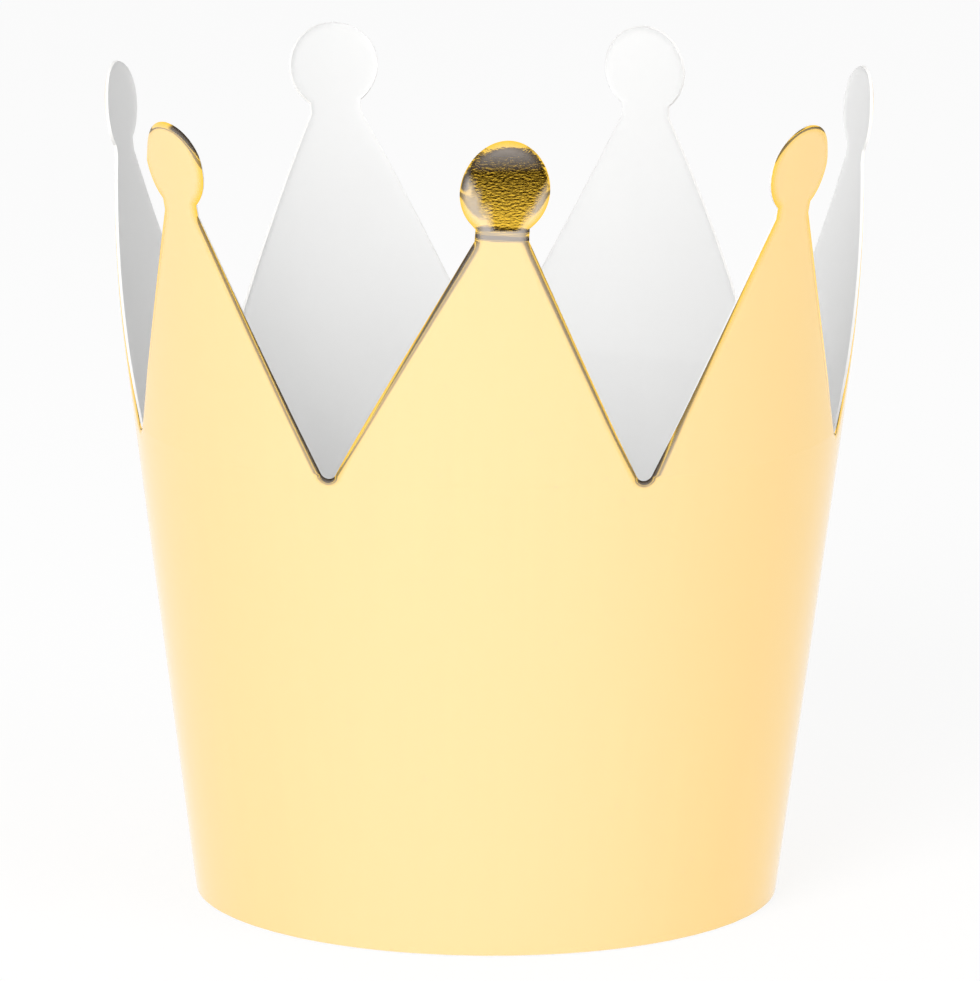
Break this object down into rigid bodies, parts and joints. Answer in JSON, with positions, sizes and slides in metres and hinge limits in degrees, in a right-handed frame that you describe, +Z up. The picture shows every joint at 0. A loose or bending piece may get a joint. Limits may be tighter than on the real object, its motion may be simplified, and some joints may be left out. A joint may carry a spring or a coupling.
{
  "type": "paper crown",
  "caption": "Party crown of foil-faced card, rolled into a cone that widens upwards, with straight-sided points that end in round balls.",
  "frame": {"origin": "centre of the round bottom opening, in the plane of the bottom edge that the crown stands on", "axes": "+Z up along the axis of the rolled cone; the front point faces -Y; the glued lap is at the back, on +Y"},
  "size_m": [0.0958, 0.0939, 0.1],
  "materials": {
    "foil_card": "smooth card, shiny gold foil on the outside, plain white on the inside"
  },
  "bodies": {
    "root": {"card_crown": "foil_card"}
  },
  "joints": []
}
